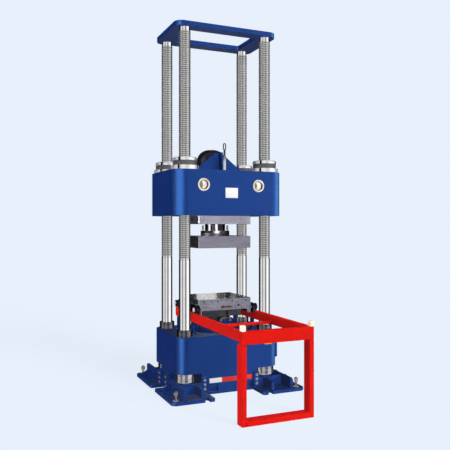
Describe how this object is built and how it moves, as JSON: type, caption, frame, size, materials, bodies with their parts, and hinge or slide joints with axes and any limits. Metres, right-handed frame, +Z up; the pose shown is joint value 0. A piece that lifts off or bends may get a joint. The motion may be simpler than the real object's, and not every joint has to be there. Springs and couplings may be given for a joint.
{
  "type": "compression testing machine",
  "caption": "Four-column compression testing machine: screw-driven crosshead with spherical seat, hydraulic ram, and lower platen on a wheeled trolley that rolls out on a rail frame.",
  "frame": {"origin": "on the floor under the loading axis, at the centre of the pedestal's underside", "axes": "+Z up along the loading axis, -Y towards the operator and the rail frame, +X to the operator's right"},
  "size_m": [1.342, 1.946, 3.503],
  "materials": {
    "blue_paint": "satin",
    "red_paint": "gloss",
    "cream_pad": "matt",
    "column_steel": "polished",
    "ground_steel": "ground",
    "dark_steel": "turned, blackened",
    "bright_steel": "polished",
    "nut_steel": "turned",
    "bolt_zinc": "zinc plated",
    "black_gloss": "gloss",
    "black_steel": "black oxide",
    "bronze": "dull"
  },
  "bodies": {
    "machine": {"base_block": "blue_paint", "foot_bracket_fl": "blue_paint", "foot_bracket_fr": "blue_paint", "foot_bracket_bl": "blue_paint", "foot_bracket_br": "blue_paint", "bracket_bolts": "bolt_zinc", "levelling_bolts": "bolt_zinc", "column_fl": "column_steel", "column_fr": "column_steel", "column_bl": "column_steel", "column_br": "column_steel", "column_collars": "dark_steel", "lower_column_nuts": "dark_steel", "top_frame": "blue_paint", "top_bolts": "black_steel", "ram_cylinder": "blue_paint", "cylinder_bolts": "blue_paint", "rail_left": "red_paint", "rail_right": "red_paint", "rail_supports": "blue_paint", "front_beam": "red_paint", "frame_legs": "red_paint", "bottom_bar": "red_paint", "cross_member": "red_paint", "bumpers": "cream_pad", "side_cover": "blue_paint"},
    "crosshead": {"crosshead": "blue_paint", "crosshead_plugs": "bright_steel", "nut_caps": "bright_steel", "lift_gusset": "blue_paint", "lift_rib": "blue_paint", "lift_rod": "bright_steel", "lift_eye": "dark_steel", "motor_flange": "black_steel", "motor_cover": "black_gloss", "adapter_plate": "ground_steel", "adapter_bolts": "black_steel", "seat_socket": "black_steel", "seat_ring": "bright_steel"},
    "column_nut_fl": {"column_nut_fl": "nut_steel"},
    "column_nut_fr": {"column_nut_fr": "nut_steel"},
    "column_nut_bl": {"column_nut_bl": "nut_steel"},
    "column_nut_br": {"column_nut_br": "nut_steel"},
    "seat_liner": {"seat_liner": "bronze"},
    "upper_platen": {"seat_ball": "black_steel", "seat_studs": "bolt_zinc", "seat_springs": "bronze", "upper_platen": "ground_steel"},
    "ram": {"ram": "bright_steel", "ram_head": "dark_steel"},
    "trolley": {"trolley_plate": "ground_steel", "trolley_cheeks": "dark_steel", "wheel_axles": "bright_steel", "lower_platen": "ground_steel", "platen_handle": "bronze"},
    "wheel_fl": {"wheel_fl": "black_steel"},
    "wheel_fr": {"wheel_fr": "black_steel"},
    "wheel_bl": {"wheel_bl": "black_steel"},
    "wheel_br": {"wheel_br": "black_steel"}
  },
  "joints": [
    {"name": "crosshead_height", "type": "slide", "parent": "machine", "child": "crosshead", "axis": [0, 0, 1], "range_m": [-0.3, 1]},
    {"name": "nut_fl_turn", "type": "hinge", "parent": "crosshead", "child": "column_nut_fl", "pos_m": [-0.421, -0.267, 2.192], "axis": [0, 0, 1], "range_deg": [-9000, 30000]},
    {"name": "nut_fr_turn", "type": "hinge", "parent": "crosshead", "child": "column_nut_fr", "pos_m": [0.421, -0.267, 2.192], "axis": [0, 0, 1], "range_deg": [-9000, 30000]},
    {"name": "nut_bl_turn", "type": "hinge", "parent": "crosshead", "child": "column_nut_bl", "pos_m": [-0.421, 0.267, 2.192], "axis": [0, 0, 1], "range_deg": [-9000, 30000]},
    {"name": "nut_br_turn", "type": "hinge", "parent": "crosshead", "child": "column_nut_br", "pos_m": [0.421, 0.267, 2.192], "axis": [0, 0, 1], "range_deg": [-9000, 30000]},
    {"name": "seat_tilt_x", "type": "hinge", "parent": "crosshead", "child": "seat_liner", "pos_m": [0, 0, 1.372], "axis": [1, 0, 0], "range_deg": [-1.5, 1.5], "deforming": ["seat_springs"]},
    {"name": "seat_tilt_y", "type": "hinge", "parent": "seat_liner", "child": "upper_platen", "pos_m": [0, 0, 1.372], "axis": [0, 1, 0], "range_deg": [-1.5, 1.5]},
    {"name": "ram_stroke", "type": "slide", "parent": "machine", "child": "ram", "axis": [0, 0, 1], "range_m": [0, 0.15]},
    {"name": "trolley_roll", "type": "slide", "parent": "ram", "child": "trolley", "axis": [0, -1, 0], "range_m": [0, 0.98]},
    {"name": "wheel_fl_spin", "type": "hinge", "parent": "trolley", "child": "wheel_fl", "pos_m": [-0.315, -0.27, 0.7895], "axis": [1, 0, 0], "range_deg": [0, 1642]},
    {"name": "wheel_fr_spin", "type": "hinge", "parent": "trolley", "child": "wheel_fr", "pos_m": [0.315, -0.27, 0.7895], "axis": [1, 0, 0], "range_deg": [0, 1642]},
    {"name": "wheel_bl_spin", "type": "hinge", "parent": "trolley", "child": "wheel_bl", "pos_m": [-0.315, 0.27, 0.7895], "axis": [1, 0, 0], "range_deg": [0, 1642]},
    {"name": "wheel_br_spin", "type": "hinge", "parent": "trolley", "child": "wheel_br", "pos_m": [0.315, 0.27, 0.7895], "axis": [1, 0, 0], "range_deg": [0, 1642]}
  ],
  "couplings": [
    {"joint": "nut_fl_turn", "follows": "crosshead_height", "rad_per_m": 523.6},
    {"joint": "nut_fr_turn", "follows": "crosshead_height", "rad_per_m": 523.6},
    {"joint": "nut_bl_turn", "follows": "crosshead_height", "rad_per_m": 523.6},
    {"joint": "nut_br_turn", "follows": "crosshead_height", "rad_per_m": 523.6},
    {"joint": "wheel_fl_spin", "follows": "trolley_roll", "rad_per_m": 29.24},
    {"joint": "wheel_fr_spin", "follows": "trolley_roll", "rad_per_m": 29.24},
    {"joint": "wheel_bl_spin", "follows": "trolley_roll", "rad_per_m": 29.24},
    {"joint": "wheel_br_spin", "follows": "trolley_roll", "rad_per_m": 29.24}
  ]
}
